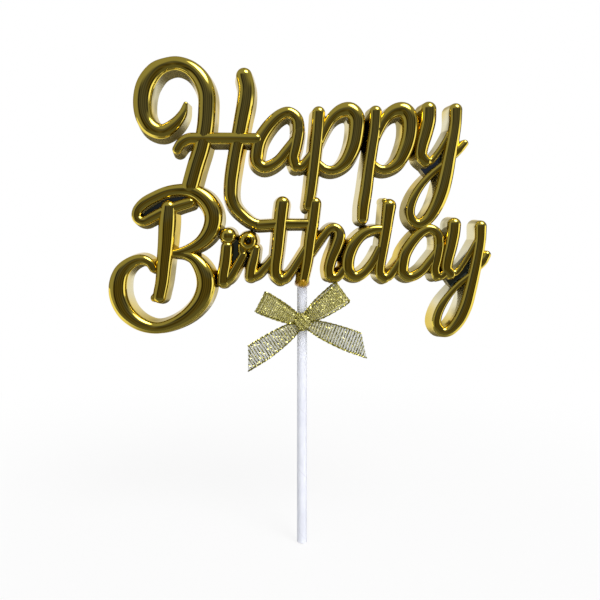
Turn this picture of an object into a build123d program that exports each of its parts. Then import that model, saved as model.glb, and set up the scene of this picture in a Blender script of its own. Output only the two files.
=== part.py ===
from build123d import *
import math
import os

# Driving dimensions, in millimetres
LETTERING_WIDTH = 133.0    # across both words, left bowl to last flick
WALL_DEPTH = 6.4           # straight wall of a letter, front edge to back edge
STICK_DIAMETER = 3.5
STICK_LENGTH = 95.0
SOCKET_DEPTH = 2.5         # how far the stick goes up past the lower line's base
SOCKET_WALL = 0.7
SOCKET_LIP = 0.1           # how far the socket hangs below the foot of its letter
SOCKET_ROOF = 1.0
SOCKET_CLEARANCE = 0.05    # between stick and socket, on the radius
GLUE_HEIGHT = 1.0
WEB_THICKNESS = 2.0        # plate that closes the back of a narrow gap inside a letter
KNOT_DROP = 14.2           # knot's middle below the lower line's base
KNOT_WIDTH = 5.8
KNOT_HEIGHT = 5.4
KNOT_DEPTH = 3.8
KNOT_BEVEL = 1.4
RIBBON_WIDTH = 7.4
RIBBON_THICKNESS = 0.35
NECK_WIDTH = 3.2           # ribbon gathered where it leaves the knot
WRAP_HEIGHT = 5.6          # ribbon drawn tight round the stick
WRAP_THICKNESS = 0.5
PINCH_DEPTH = 0.25         # how far the tight ribbon presses into the paper
PINCH_MARGIN = 0.3         # pressed paper above and below the ribbon
LOOP_REACH = 17.0          # knot's middle to the fold of a loop
LOOP_DEPTH = 3.6           # front layer to back layer of a loop
TAIL_REACH = 23.0          # knot's middle to the cut end of a tail
TAIL_SWING = 1.2           # how far a tail swings forward on its way

# Directions in which the ribbon leaves the knot, in degrees up from the right
LEFT_LOOP_TURN = 153.0
RIGHT_LOOP_TURN = 36.0
LEFT_TAIL_TURN = 214.0
RIGHT_TAIL_TURN = -21.0
TAIL_CUT = 34.0            # slant of a tail's cut end

# Worked out from them
STICK_RADIUS = STICK_DIAMETER / 2
BASE_LINE = STICK_LENGTH - SOCKET_DEPTH
SOCKET_BORE = STICK_RADIUS + SOCKET_CLEARANCE
SOCKET_RADIUS = SOCKET_BORE + SOCKET_WALL
KNOT_UP = BASE_LINE - KNOT_DROP
WRAP_RADIUS = STICK_RADIUS + WRAP_THICKNESS
KNOT_BACK = -STICK_RADIUS
KNOT_MIDDLE = KNOT_BACK - KNOT_DEPTH / 2
FRONT = -WALL_DEPTH / 2
BACK = WALL_DEPTH / 2

# Shares that give a stroke its rounded front
DOME_RISE = 0.9            # height of the front over half the stroke's width
DOME_FACES = 4             # flats that stand for the round

# Turns in degrees that set how closely a stroke's sections stand
SECTION_TURN = 24.0        # most that a stroke bends between two sections
END_TURNS = (30, 60, 80)   # sections of a free end, round the quarter circle that narrows it
FLATNESS = 1e-6            # a patch with less twist is one flat face, in millimetres

# The letters are drawn on squared paper, 380 squares across both words. Squares count from
# the stick's axis and the lower line's base: (across, up, stroke width). Each stroke says
# which of its ends stand free, and so are rounded. A stroke that turns back on itself is
# drawn in two stretches, and the second goes on from the end of the first.
SQUARE = LETTERING_WIDTH / 380
BOTH = (True, True)
FIRST = (True, False)
LAST = (False, True)
NEITHER = (False, False)

LETTERS = {
    "upper_h": [
        (BOTH, [(-117, 177.5, 4), (-120, 167.5, 8), (-127.5, 157.5, 11), (-139.5, 150, 13),
                (-151.5, 154, 14.5), (-158.5, 165.5, 15.5), (-160, 181.5, 16.5), (-156.5, 197.5, 16.5),
                (-147.5, 210.5, 15), (-136.5, 216.5, 12.5), (-124.5, 218, 12), (-111.5, 213, 13),
                (-101.5, 202.5, 15), (-96, 188.5, 15.5), (-95.5, 173.5, 15.5), (-97, 153.5, 15.5),
                (-101, 133.5, 15.5), (-106.5, 115.5, 15.5), (-112, 95.5, 15.5)]),
        (BOTH, [(-58.5, 205.5, 12.5), (-56, 193.5, 14.5), (-57, 179.5, 15), (-60, 163.5, 14.5),
                (-63, 147.5, 14), (-66.5, 131.5, 13), (-69.5, 113.5, 13), (-71.5, 97.5, 12.5),
                (-71.5, 84.5, 12), (-68, 75, 11), (-60.5, 66.5, 10), (-50.5, 59, 9), (-40.5, 56.5, 8)]),
        (BOTH, [(-125, 131.5, 8.5), (-120.5, 138, 9.5), (-113.5, 142, 10), (-102.5, 142.5, 10),
                (-72.5, 142.5, 10), (-42, 141.5, 10)]),
    ],
    "upper_a": [
        (NEITHER, [(-4, 154, 6), (-7, 164.5, 8), (-15.5, 169, 10), (-25, 164.5, 10.5),
                   (-34.5, 154.5, 11.5), (-42.5, 141.5, 12.5), (-45.5, 129.5, 12.5)],
         [(-45.5, 120, 11.5), (-39.5, 114.5, 10.5), (-31.5, 116, 10), (-23, 122, 9.5), (-15, 132, 9),
          (-6, 146, 6)]),
        (BOTH, [(-2.5, 162.5, 11), (-4, 150.5, 11), (-6.5, 135.5, 11), (-9, 123.5, 10), (-7, 115, 9)]),
        (LAST, [(-8, 118.5, 8), (-2.5, 114.5, 8), (4, 120, 8), (12, 131, 7.5)]),
    ],
    "upper_p_1": [
        (BOTH, [(16, 168.5, 11.5), (15, 151.5, 11.5), (13, 131.5, 11.5), (10.5, 109.5, 11),
                (8, 89.5, 10.5), (5.5, 75.5, 9.5)]),
        (NEITHER, [(16.5, 137.5, 7), (22, 150.5, 8), (29, 163, 9.5), (38.5, 170.5, 12), (48, 171, 14),
                   (54, 162.5, 14.5), (53.5, 147.5, 14), (50, 132.5, 13.5), (43, 119.5, 11.5),
                   (33, 112, 8.5), (23.5, 112, 7.5), (15.5, 118, 7)]),
    ],
    "upper_p_2": [
        (BOTH, [(73, 169.5, 11), (72, 151.5, 11), (69, 131.5, 11), (66, 111.5, 11), (63.5, 91.5, 11.5),
                (61, 75.5, 11.5), (60, 63.5, 10.5)]),
        (NEITHER, [(72, 138.5, 7), (77, 151.5, 8), (83.5, 163.5, 9.5), (92, 170.5, 12),
                   (101.5, 171, 14), (107, 162.5, 14.5), (107, 147.5, 14), (103, 132.5, 13.5),
                   (96, 119.5, 11.5), (86, 112.5, 8.5), (77, 112.5, 7.5), (69, 118.5, 7)]),
    ],
    "upper_y": [
        (BOTH, [(126, 172, 13.5), (125.5, 160.5, 13.5), (122.5, 147.5, 13), (119, 134.5, 12),
                (118.5, 125.5, 11), (123, 120, 10)]),
        (NEITHER, [(121, 121.5, 9), (128.5, 121, 6.5), (135.5, 129, 5.5), (142, 139.5, 5),
                   (148.5, 151.5, 5)]),
        (BOTH, [(153, 171.5, 11.5), (152.5, 157.5, 11), (150, 141.5, 11.5), (146.5, 123.5, 12),
                (143, 105.5, 13), (139, 89.5, 13), (133, 74.5, 12), (125, 62.5, 10.5), (116, 57.5, 9.5),
                (109, 62.5, 8.5)],
         [(107.5, 71.5, 8.5), (111, 83.5, 8), (118.5, 96, 7), (128.5, 107, 6), (139.5, 116.5, 5),
          (150.5, 125, 5), (158, 130.5, 4.5), (163.5, 136.5, 3.5)]),
    ],
    "lower_b": [
        (FIRST, [(-112.5, 79, 9), (-122.5, 76, 9.5), (-137.5, 70.5, 9.5), (-150.5, 64, 9),
                 (-159, 60, 8.5), (-165.5, 63.5, 8.5)],
         [(-165, 71, 9), (-158, 78.5, 10), (-147.5, 84.5, 10), (-135.5, 89.5, 10), (-122.5, 91.5, 10.5),
          (-109.5, 90, 12.5), (-98.5, 83.5, 15), (-91.5, 74, 16), (-89, 63, 16), (-92, 51, 15),
          (-100.5, 40, 12), (-112, 33, 9), (-124.5, 29, 6.5), (-134.5, 28, 6)]),
        (LAST, [(-130.5, 27.5, 5.5), (-119.5, 27, 7), (-110, 23.5, 10), (-102, 15.5, 14),
                (-97, 4.5, 16.5), (-97, -7.5, 16.5), (-102.5, -21, 15.5), (-114, -33.5, 13.5),
                (-129.5, -42.5, 11), (-146, -46.5, 10)],
         [(-162, -42.5, 12), (-175.5, -32, 14.5), (-183, -18, 16), (-184.5, -4, 16), (-181, 9, 14),
          (-172.5, 18, 11), (-162, 22, 9), (-153.5, 19, 8), (-149.5, 12.5, 6.5)]),
        (BOTH, [(-134.5, 73.5, 13.5), (-135.5, 59.5, 15), (-137.5, 36.5, 15), (-139.5, 16.5, 15),
                (-141.5, -0.5, 14.5), (-144, -14, 13.5)]),
        (LAST, [(-142.5, -10.5, 12), (-146, -15.5, 8), (-150, -18, 3.5)]),
    ],
    "lower_i": [
        (BOTH, [(-75.5, 34.5, 10.5), (-77, 19.5, 11), (-79, 7.5, 11), (-79.5, 0, 11)]),
        (LAST, [(-79, 0, 9), (-72.5, 4, 8.5), (-66, 14.5, 8), (-59.5, 26.5, 7.5)]),
    ],
    "lower_r": [
        (BOTH, [(-46.5, 32.5, 8), (-48.5, 23.5, 9.5), (-51, 13.5, 10), (-52, 5, 10)]),
        (LAST, [(-51.5, 4.5, 8), (-44.5, 7, 7.5), (-37, 14.5, 7), (-28.5, 24.5, 7)]),
        (NEITHER, [(-56, 35, 5), (-51, 32, 6.5), (-45.5, 34, 5.5)]),
        (NEITHER, [(-59.5, 26.5, 7), (-61, 32.5, 6.5), (-61, 37.5, 5.5)]),
    ],
    "lower_t": [
        (BOTH, [(-20, 78, 12.5), (-21.5, 66.5, 12.5), (-23, 51.5, 12), (-25, 31.5, 11.5),
                (-27, 15.5, 11), (-26.5, 6.5, 10.5), (-22, 1.5, 9.5)]),
        (LAST, [(-24.5, 3, 9), (-17.5, 3, 8.5), (-11, 10, 7.5), (-4.5, 20, 7), (4, 33.5, 7)]),
        (BOTH, [(-44.5, 56.5, 9), (-34.5, 57, 9), (-20.5, 58, 8.5), (-6.5, 58, 8), (8.5, 58, 8)]),
    ],
    "lower_h": [
        (BOTH, [(12.5, 78, 11), (10.5, 61.5, 11), (7.5, 41.5, 11), (5, 21.5, 10), (2.5, 7.5, 9),
                (1, 0.5, 8.5)]),
        (LAST, [(6, 23.5, 7), (12, 32.5, 7), (19, 43, 7.5), (25, 51, 7.5), (30.5, 54, 8),
                (35.5, 51.5, 9), (37, 45, 10.5), (34.5, 35, 11), (31, 24.5, 10.5), (28.5, 13.5, 10.5),
                (29.5, 6, 10)]),
        (LAST, [(30, 4.5, 8.5), (37, 5.5, 8), (43, 13.5, 8)]),
    ],
    "lower_d": [
        (NEITHER, [(81.5, 52.5, 7), (71.5, 52, 8), (61, 48, 9.5), (52, 38.5, 11), (46.5, 26.5, 11.5),
                   (45, 16, 11.5), (46.5, 9.5, 11), (51, 5.5, 10), (57, 6, 9.5), (64, 11.5, 9), (71, 21, 8.5),
                   (77.5, 33.5, 8)]),
        (BOTH, [(86.5, 75.5, 12.5), (85, 64.5, 11.5), (83, 49.5, 10.5), (80, 31.5, 10),
                (77.5, 16.5, 9.5), (77.5, 7.5, 9), (82, 3, 8.5)]),
        (LAST, [(84.5, 78, 9), (80.5, 81, 3.5)]),
        (LAST, [(79, 4.5, 8.5), (86, 5, 8), (92.5, 13, 7.5), (99.5, 23.5, 7.5)]),
    ],
    "lower_y": [
        (BOTH, [(151.5, 57, 12), (150.5, 47.5, 12), (148, 34.5, 11.5), (145, 22.5, 11), (144, 13, 10),
                (148, 7, 9)]),
        (NEITHER, [(146.5, 8, 8), (153.5, 9, 6), (159.5, 16, 5), (165.5, 25.5, 5), (172, 37, 5)]),
        (BOTH, [(178, 55, 10.5), (177.5, 41.5, 10), (175, 25.5, 10), (171.5, 8.5, 10.5),
                (167.5, -8.5, 11), (163, -24.5, 11.5), (156, -39, 11), (147, -49, 9.5), (139, -50, 9),
                (134, -43, 8.5)],
         [(135, -33.5, 8), (140, -22.5, 7.5), (148, -11.5, 6), (157, -2, 5), (167.5, 6.5, 5),
          (177.5, 14, 4.5), (182, 19, 4.5), (186, 24.5, 3.5)]),
    ],
}

# The lower a is the upper one, smaller: corner of each on the squares, and their ratio
UPPER_A_CORNER = (-52, 109)
LOWER_A_CORNER = (94.5, 0)
LOWER_A_SIZE = 0.876

# Round details on the same squares, and the pit of the second as shares of its half width:
# (side, depth behind the front edge) from the rim to the middle
I_DOT = (-74.5, 45.5, 14.5)
R_EYE = (-54.5, 40.5, 17)
EYE_PIT = [(0.48, -0.72), (0.1, 0.7), (0, 0.7)]

# Corners, on the same squares, of the plates that close narrow gaps
WEBS = {
    "lower_b": [(-163, 66), (-151, 81), (-136, 88), (-120, 88), (-116, 80), (-137, 71), (-157, 62)],
    "lower_i": [(-75, 42), (-62, 41), (-60, 30), (-63, 21), (-72, 8), (-77, 12)],
    "upper_y": [(121, 118), (128, 121), (136, 129), (144, 139), (147, 125), (140, 117), (129, 107), (120, 99)],
    "lower_y": [(147, 6), (154, 9), (160, 17), (168, 27), (171, 12), (166, 5), (156, -3), (149, -10)],
}

# The stick's socket reaches just below the foot of the first stroke of its letter
FOOT_SPOT = LETTERS["lower_h"][0][1][-1]
SOCKET_FOOT = BASE_LINE + (FOOT_SPOT[1] - FOOT_SPOT[2] / 2) * SQUARE - SOCKET_LIP
SOCKET_TOP = BASE_LINE + SOCKET_DEPTH

# A letter gives way to every letter before it in this order, so that they meet face to face
ORDER = ["lower_h", "lower_b", "upper_h", "lower_t", "upper_a", "upper_p_1", "upper_p_2", "upper_y",
         "lower_d", "lower_a", "lower_y", "lower_r", "lower_i"]


def smaller_a():
    """Strokes of the lower a, from those of the upper one"""
    def shift(spot):
        across = LOWER_A_CORNER[0] + (spot[0] - UPPER_A_CORNER[0]) * LOWER_A_SIZE
        up = LOWER_A_CORNER[1] + (spot[1] - UPPER_A_CORNER[1]) * LOWER_A_SIZE
        return across, up, spot[2] * LOWER_A_SIZE
    return [(ends, *[[shift(spot) for spot in stretch] for stretch in stretches])
            for ends, *stretches in LETTERS["upper_a"]]


def on_paper(spot):
    """A drawn point as millimetres: across, up, half the stroke's width"""
    across, up, width = spot
    return across * SQUARE, BASE_LINE + up * SQUARE, width * SQUARE / 2


def between(before, start, stop, after, share):
    """Point on the smooth curve from start to stop that also heeds the points beside them"""
    return tuple(b + share * (c - a) / 2 + share ** 2 * (a - 2.5 * b + 2 * c - d / 2)
                 + share ** 3 * (3 * (b - c) + d - a) / 2
                 for a, b, c, d in zip(before, start, stop, after))


def turning(before, start, stop, after):
    """Degrees that the smooth curve turns on its way from start to stop"""
    leaving = math.atan2(stop[1] - before[1], stop[0] - before[0])
    arriving = math.atan2(after[1] - start[1], after[0] - start[0])
    return abs(math.degrees(math.remainder(arriving - leaving, math.tau)))


def smooth(points):
    """Close-set points on a smooth curve through the drawn ones, and where those are among them"""
    first = tuple(2 * a - b for a, b in zip(points[0], points[1]))
    last = tuple(2 * a - b for a, b in zip(points[-1], points[-2]))
    guide = [first] + points + [last]
    curve = []
    drawn = []
    for before, start, stop, after in zip(guide, guide[1:], guide[2:], guide[3:]):
        drawn.append(len(curve))
        steps = max(1, math.ceil(turning(before, start, stop, after) / SECTION_TURN))
        curve += [between(before, start, stop, after, step / steps) for step in range(steps)]
    return curve + [points[-1]], drawn + [len(curve)]


def heading(points, i):
    """Unit direction in which a stroke runs at point i"""
    before = points[max(i - 1, 0)]
    after = points[min(i + 1, len(points) - 1)]
    length = math.hypot(after[0] - before[0], after[1] - before[1])
    return (after[0] - before[0]) / length, (after[1] - before[1]) / length


def dome(half):
    """Half the rounded front as (side, depth) corners, from the wall's edge to the crest"""
    turns = [math.pi * step / DOME_FACES for step in range(DOME_FACES // 2 + 1)]
    return [(half * math.cos(turn), FRONT - DOME_RISE * half * math.sin(turn)) for turn in turns]


def across_stroke(points, i, corners):
    """(side, depth) corners on the plane that crosses a stroke at point i"""
    x, z, _ = points[i]
    run_x, run_z = heading(points, i)
    return [Vector(x - run_z * side, depth, z + run_x * side) for side, depth in corners]


def stroke_section(points, i):
    """Closed outline across a stroke: flat back, straight walls, rounded front"""
    half = points[i][2]
    right = dome(half)
    left = [(-side, depth) for side, depth in reversed(right[:-1])]
    corners = [(half, BACK)] + right + left + [(-half, BACK)]
    return across_stroke(points, i, corners)


def patch(a, b, c, d):
    """Four-cornered piece of a surface: one flat face, or two where it is twisted"""
    twist = (b - a).dot((c - a).cross(d - a).normalized())
    if abs(twist) < FLATNESS:
        return [Face(Wire.make_polygon([a, b, c, d]))]
    if (c - a).length < (d - b).length:
        return [Face(Wire.make_polygon([a, b, c])), Face(Wire.make_polygon([a, c, d]))]
    return [Face(Wire.make_polygon([a, b, d])), Face(Wire.make_polygon([b, c, d]))]


def flat_loft(sections):
    """Solid with flat faces through closed sections that have as many corners each"""
    faces = [Face(Wire.make_polygon(sections[0])), Face(Wire.make_polygon(sections[-1]))]
    for here, there in zip(sections, sections[1:]):
        for i in range(len(here)):
            faces += patch(here[i - 1], here[i], there[i], there[i - 1])
    return Solid(Shell(faces))


def free_end(inner, end):
    """Points that carry a stroke past its end and narrow it along a quarter circle"""
    x, z, half = end
    length = math.hypot(x - inner[0], z - inner[1])
    run_x = (x - inner[0]) / length
    run_z = (z - inner[1]) / length
    turns = [math.radians(turn) for turn in END_TURNS]
    return [(x + run_x * half * math.sin(turn), z + run_z * half * math.sin(turn), half * math.cos(turn))
            for turn in turns]


def stroke(ends, *stretches):
    """Solids of one stroke, one for each of its stretches"""
    points, drawn = smooth([on_paper(spot) for stretch in stretches for spot in stretch])
    before = free_end(points[1], points[0])[::-1] if ends[0] else []
    after = free_end(points[-2], points[-1]) if ends[1] else []
    points = before + points + after
    limits = [0]
    spots = 0
    for stretch in stretches[:-1]:
        spots += len(stretch)
        limits.append(len(before) + drawn[spots - 1])
    limits.append(len(points) - 1)
    return [flat_loft([stroke_section(points, i) for i in range(start, stop + 1)])
            for start, stop in zip(limits, limits[1:])]


def dot(spot, pit=()):
    """A round dot with the walls and front of a stroke, or with a pit in its front"""
    x, z, half = on_paper(spot)
    middle = [(half * side, FRONT + half * depth) for side, depth in pit] or dome(half)[-1:]
    corners = [(0, BACK), (half, BACK)] + dome(half)[:-1] + middle
    half_section = Face(Wire.make_polygon([Vector(x + side, depth, z) for side, depth in corners]))
    return revolve(half_section, Axis((x, 0, z), (0, 1, 0)), 360).solid()


def web(corners):
    """Plate flush with the backs of the strokes that it joins"""
    spots = [on_paper((across, up, 0)) for across, up in corners]
    back = Face(Wire.make_polygon([Vector(x, BACK, z) for x, z, _ in spots]))
    return extrude(back, WEB_THICKNESS, (0, -1, 0)).solid()


def largest(shape):
    return max(shape.solids(), key=lambda solid: solid.volume)


def joined(solids):
    """One solid out of several that overlap"""
    whole = solids[0]
    for other in solids[1:]:
        whole = whole.fuse(other)
    return largest(whole)


def whole_letter(name):
    """A letter as drawn, before its neighbours are cut out of it"""
    strokes = smaller_a() if name == "lower_a" else LETTERS[name]
    solids = [solid for one in strokes for solid in stroke(*one)]
    if name in WEBS:
        solids.append(web(WEBS[name]))
    if name == "lower_h":
        height = SOCKET_TOP + SOCKET_ROOF - SOCKET_FOOT
        solids.append(Solid.make_cylinder(SOCKET_RADIUS, height, Plane((0, 0, SOCKET_FOOT))))
    if name == "lower_i":
        solids.append(dot(I_DOT))
    if name == "lower_r":
        solids.append(dot(R_EYE, EYE_PIT))
    return joined(solids)


def near(one, other):
    a = one.bounding_box()
    b = other.bounding_box()
    beside = a.max.X < b.min.X or b.max.X < a.min.X
    above = a.max.Z < b.min.Z or b.max.Z < a.min.Z
    return not beside and not above


def lettering():
    """Every letter by name, each cut where an earlier one stands"""
    whole = {name: whole_letter(name) for name in ORDER}
    letters = {}
    for place, name in enumerate(ORDER):
        letter = whole[name]
        for earlier in ORDER[:place]:
            if near(letter, whole[earlier]):
                letter = largest(letter.cut(whole[earlier]))
        letters[name] = letter
    bore = Solid.make_cylinder(SOCKET_BORE, SOCKET_TOP - SOCKET_FOOT, Plane((0, 0, SOCKET_FOOT)))
    letters["lower_h"] = letters["lower_h"].cut(bore).solid()
    return letters


def stick():
    """Rolled paper stick, cut square at both ends, with a shallow waist where the ribbon is tied"""
    height = WRAP_HEIGHT + 2 * PINCH_MARGIN
    foot = Plane((0, 0, KNOT_UP - height / 2))
    paper = Solid.make_cylinder(STICK_RADIUS, height, foot)
    waist = paper.cut(Solid.make_cylinder(STICK_RADIUS - PINCH_DEPTH, height, foot))
    return Solid.make_cylinder(STICK_RADIUS, STICK_LENGTH).cut(waist).solid()


def glue():
    """Bead of glue that closes the gap between stick and socket at the socket's mouth"""
    bead = Solid.make_cone(SOCKET_BORE, SOCKET_RADIUS, GLUE_HEIGHT, Plane((0, 0, SOCKET_FOOT - GLUE_HEIGHT)))
    return bead.cut(stick()).solid()


def wrap():
    """Ribbon drawn tight round the stick behind the knot"""
    foot = Plane((0, 0, KNOT_UP - WRAP_HEIGHT / 2))
    band = Solid.make_cylinder(WRAP_RADIUS, WRAP_HEIGHT, foot)
    return band.cut(stick()).solid()


def knot():
    """Knot in front of the stick, seated on the wrap"""
    lump = Solid.make_box(KNOT_WIDTH, KNOT_DEPTH, KNOT_HEIGHT,
                          Plane((-KNOT_WIDTH / 2, KNOT_BACK - KNOT_DEPTH, KNOT_UP - KNOT_HEIGHT / 2)))
    lump = lump.chamfer(KNOT_BEVEL, None, lump.edges())
    return lump.cut(stick(), wrap()).solid()


def ribbon(turn, route, cut=0.0):
    """Ribbon that leaves the knot: route of (reach, depth, width), with a slant at its last end"""
    out = Vector(math.cos(math.radians(turn)), 0, math.sin(math.radians(turn)))
    across = Vector(-out.Z, 0, out.X)
    points, _ = smooth(route)
    sections = []
    for i, (reach, depth, width) in enumerate(points):
        middle = Vector(0, depth, KNOT_UP) + out * reach
        run_out, run_deep = heading(points, i)
        thick = (out * -run_deep + Vector(0, run_out, 0)) * (RIBBON_THICKNESS / 2)
        slant = math.tan(math.radians(cut)) if i == len(points) - 1 else 0.0
        side = (across + out * slant) * (width / 2)
        sections.append([middle + side + thick, middle - side + thick,
                         middle - side - thick, middle + side - thick])
    return flat_loft(sections)


def loop(turn):
    """Loop of the bow: out along the front, round the fold and back behind"""
    bend = LOOP_DEPTH / 2
    neck = (KNOT_WIDTH / 4, RIBBON_THICKNESS, NECK_WIDTH)
    belly = (0.45 * LOOP_REACH, bend, 0.8 * RIBBON_WIDTH)
    layer = [neck, belly]
    folds = [math.radians(turn) for turn in (-90, -45, 0, 45, 90)]
    fold = [(LOOP_REACH - bend + bend * math.cos(turn), KNOT_MIDDLE + bend * math.sin(turn), RIBBON_WIDTH)
            for turn in folds]
    front = [(reach, KNOT_MIDDLE - depth, width) for reach, depth, width in layer]
    back = [(reach, KNOT_MIDDLE + depth, width) for reach, depth, width in reversed(layer)]
    return ribbon(turn, front + fold + back)


def tail(turn, cut):
    """Loose end of the bow, widening from the knot to its slanted cut"""
    forward = KNOT_MIDDLE - TAIL_SWING
    route = [(KNOT_WIDTH / 4, KNOT_MIDDLE, NECK_WIDTH), (0.35 * TAIL_REACH, forward, 0.8 * RIBBON_WIDTH),
             (0.7 * TAIL_REACH, forward, RIBBON_WIDTH), (TAIL_REACH, KNOT_MIDDLE, RIBBON_WIDTH)]
    return ribbon(turn, route, cut)


def bow():
    """Pieces of the bow by name; each gives way to those before it"""
    pieces = {"bow_wrap": wrap(), "bow_knot": knot()}
    later = {"bow_loop_left": loop(LEFT_LOOP_TURN), "bow_loop_right": loop(RIGHT_LOOP_TURN),
             "bow_tail_left": tail(LEFT_TAIL_TURN, TAIL_CUT), "bow_tail_right": tail(RIGHT_TAIL_TURN, -TAIL_CUT)}
    for name, piece in later.items():
        pieces[name] = largest(piece.cut(*pieces.values()))
    return pieces


def topper():
    return {**lettering(), "stick": stick(), "glue": glue(), **bow()}


os.makedirs("parts", exist_ok=True)
for name, solid in topper().items():
    export_step(solid, f"parts/{name}.step")
    print(name, solid.is_valid, round(solid.volume, 2))
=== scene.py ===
import math

import bmesh
import bpy
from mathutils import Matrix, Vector


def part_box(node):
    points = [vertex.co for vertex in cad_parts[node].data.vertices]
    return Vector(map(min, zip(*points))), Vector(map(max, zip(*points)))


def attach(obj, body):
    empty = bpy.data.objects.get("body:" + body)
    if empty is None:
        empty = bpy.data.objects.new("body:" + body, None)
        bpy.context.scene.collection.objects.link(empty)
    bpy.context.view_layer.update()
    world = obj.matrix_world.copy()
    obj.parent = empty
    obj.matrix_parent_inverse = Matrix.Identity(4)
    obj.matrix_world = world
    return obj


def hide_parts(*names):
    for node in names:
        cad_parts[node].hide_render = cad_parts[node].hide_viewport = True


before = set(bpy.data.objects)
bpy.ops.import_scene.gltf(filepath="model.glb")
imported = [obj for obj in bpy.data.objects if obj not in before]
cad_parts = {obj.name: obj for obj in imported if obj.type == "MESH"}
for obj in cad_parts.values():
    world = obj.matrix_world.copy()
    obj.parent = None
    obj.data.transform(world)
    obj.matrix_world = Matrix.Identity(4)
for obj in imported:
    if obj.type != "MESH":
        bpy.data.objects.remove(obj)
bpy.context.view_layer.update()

# Sizes in metres, read from the frame where it holds them
MM = 0.001
STICK_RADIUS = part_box("stick")[1].x
STICK_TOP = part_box("stick")[1].z
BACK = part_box("lower_t")[1].y
FRONT = -BACK
SOCKET_DEPTH = 2.5 * MM
SOCKET_ROOF = 1.0 * MM
BASE_LINE = STICK_TOP - SOCKET_DEPTH
SOCKET_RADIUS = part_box("glue")[1].x
SOCKET_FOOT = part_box("glue")[1].z
KNOT_LOW, KNOT_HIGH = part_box("bow_knot")
KNOT_UP = (KNOT_LOW.z + KNOT_HIGH.z) / 2
KNOT_DEEP = (KNOT_LOW.y + KNOT_HIGH.y) / 2
KNOT_WIDTH = KNOT_HIGH.x - KNOT_LOW.x
CLOSE = 0.01 * MM          # points nearer than this are at the same height
MERGE = 0.002 * MM         # and nearer than this are one point
TURN_STEPS = 48            # faces round a turned shape

# Section of a moulded stroke
SWELL = 1.15               # plated width of a stroke over its drawn width
DOME_RISE = 0.78           # height of the rounded front over half the stroke's width
BAR_LIFT = 0.9 * MM        # how far the bar of the H stands out over its stems
DOME_STEPS = 16            # faces across the rounded front
DRAFT = 0.7 * MM           # how much wider a stroke is at its back, on each side
BACK_ROUNDING = 0.25 * MM
BACK_STEP = 0.02 * MM      # each letter's back is set in by this much more than the one before it
RING_STEP = 0.7 * MM       # way between two rings of a stroke
END_STEPS = 14             # faces round a free end
CREASE = math.radians(38)  # edges sharper than this stay crisp
WEB_THICKNESS = 4.4 * MM   # plate that closes the back of a narrow gap

# Stick and glue
STICK_SIDES = 64
RIM_ROUNDING = 0.15 * MM
RIM_ANGLE = math.radians(60)
WAIST_HEIGHT = 6.2 * MM    # pressed in where the ribbon is tied
WAIST_SLOPE = 0.15 * MM
WAIST_DEPTH = 0.25 * MM
CORE_RADIUS = 0.35 * MM    # hollow middle of the roll
CORE_DEPTH = 0.8 * MM
SEAM_PITCH = 11 * MM       # rise of the paper's edge in one turn
GLUE_DROP = 0.5 * MM       # bead below the sleeve
GLUE_RISE = 1.8 * MM       # skin up the outside of the sleeve
GLUE_SKIN = 0.12 * MM
GLUE_WAVE = 0.25 * MM      # unevenness of its edges
GLUE_FORWARD = 0.9         # how much further it reaches in front, where it covers the foot of the h

# Ribbon
HALF_RIBBON = 3.7 * MM
HALF_NECK = 1.6 * MM       # gathered where it leaves the knot
RIBBON_STEP = 0.4 * MM     # way between two places along the ribbon
LEFT_LOOP_REACH = 16.5 * MM
RIGHT_LOOP_REACH = 17.7 * MM
LOOP_DEPTH = 3.6 * MM
LOOP_LEAN = 0.7 * MM       # how far the back layer of a loop stands out beside the front one
TAIL_REACH = 23 * MM
TAIL_SWING = 1.2 * MM
LEFT_LOOP_TURN = math.radians(153)
RIGHT_LOOP_TURN = math.radians(36)
LEFT_TAIL_TURN = math.radians(214)
RIGHT_TAIL_TURN = math.radians(-21)
TAIL_CUT = math.radians(34)
PLEAT_DEPTH = 0.7 * MM     # folds at the neck
PLEATS = 2.5
KNOT_TURN = math.radians(-48)
KNOT_PLACES = 40           # places round the knot
KNOT_LONG = 2.5 * MM       # half sizes of the knot
KNOT_THICK = 1.75 * MM
KNOT_BROAD = 2.5 * MM
KNOT_FOLD = 0.24 * MM
KNOT_FOLDS = 3
WRAP_PLACES = 34           # places round the stick
WRAP_RADIUS = 2.0 * MM
WRAP_HALF = 2.6 * MM

# Threads, as half sizes
LOOP_RIB = (0.19 * MM, 0.06 * MM)  # broad and thin side of a rib
TAIL_RIB = (0.26 * MM, 0.17 * MM)
LOOP_TWIST = 0.9                   # turn of a rib from one of its points to the next
TAIL_TWIST = 0.3
FINE_THREAD = 0.045 * MM
CORD_RADIUS = 0.36 * MM
WARPS = 9                  # spaces between the lengthwise threads
TAIL_PITCH = 1.0 * MM      # way between two ribs
LOOP_PITCH = 0.7 * MM
KNOT_PITCH = 0.45 * MM
RIB_STEPS = 14             # stretches of a rib from edge to edge
RIB_LIFT = 0.05 * MM       # how far ribs go over and under the ground
THREAD_STEP = 0.5 * MM     # way between two points of a lengthwise thread
THREAD_LIFT = 0.04 * MM
FILM_STEP = 0.6 * MM       # size of the ground's faces along the ribbon
FILM_COLUMNS = 12          # and their number across it
FILM_THICKNESS = 0.03 * MM
GOLD_THREAD, FINE_SILK, GAUZE = range(3)

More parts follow.
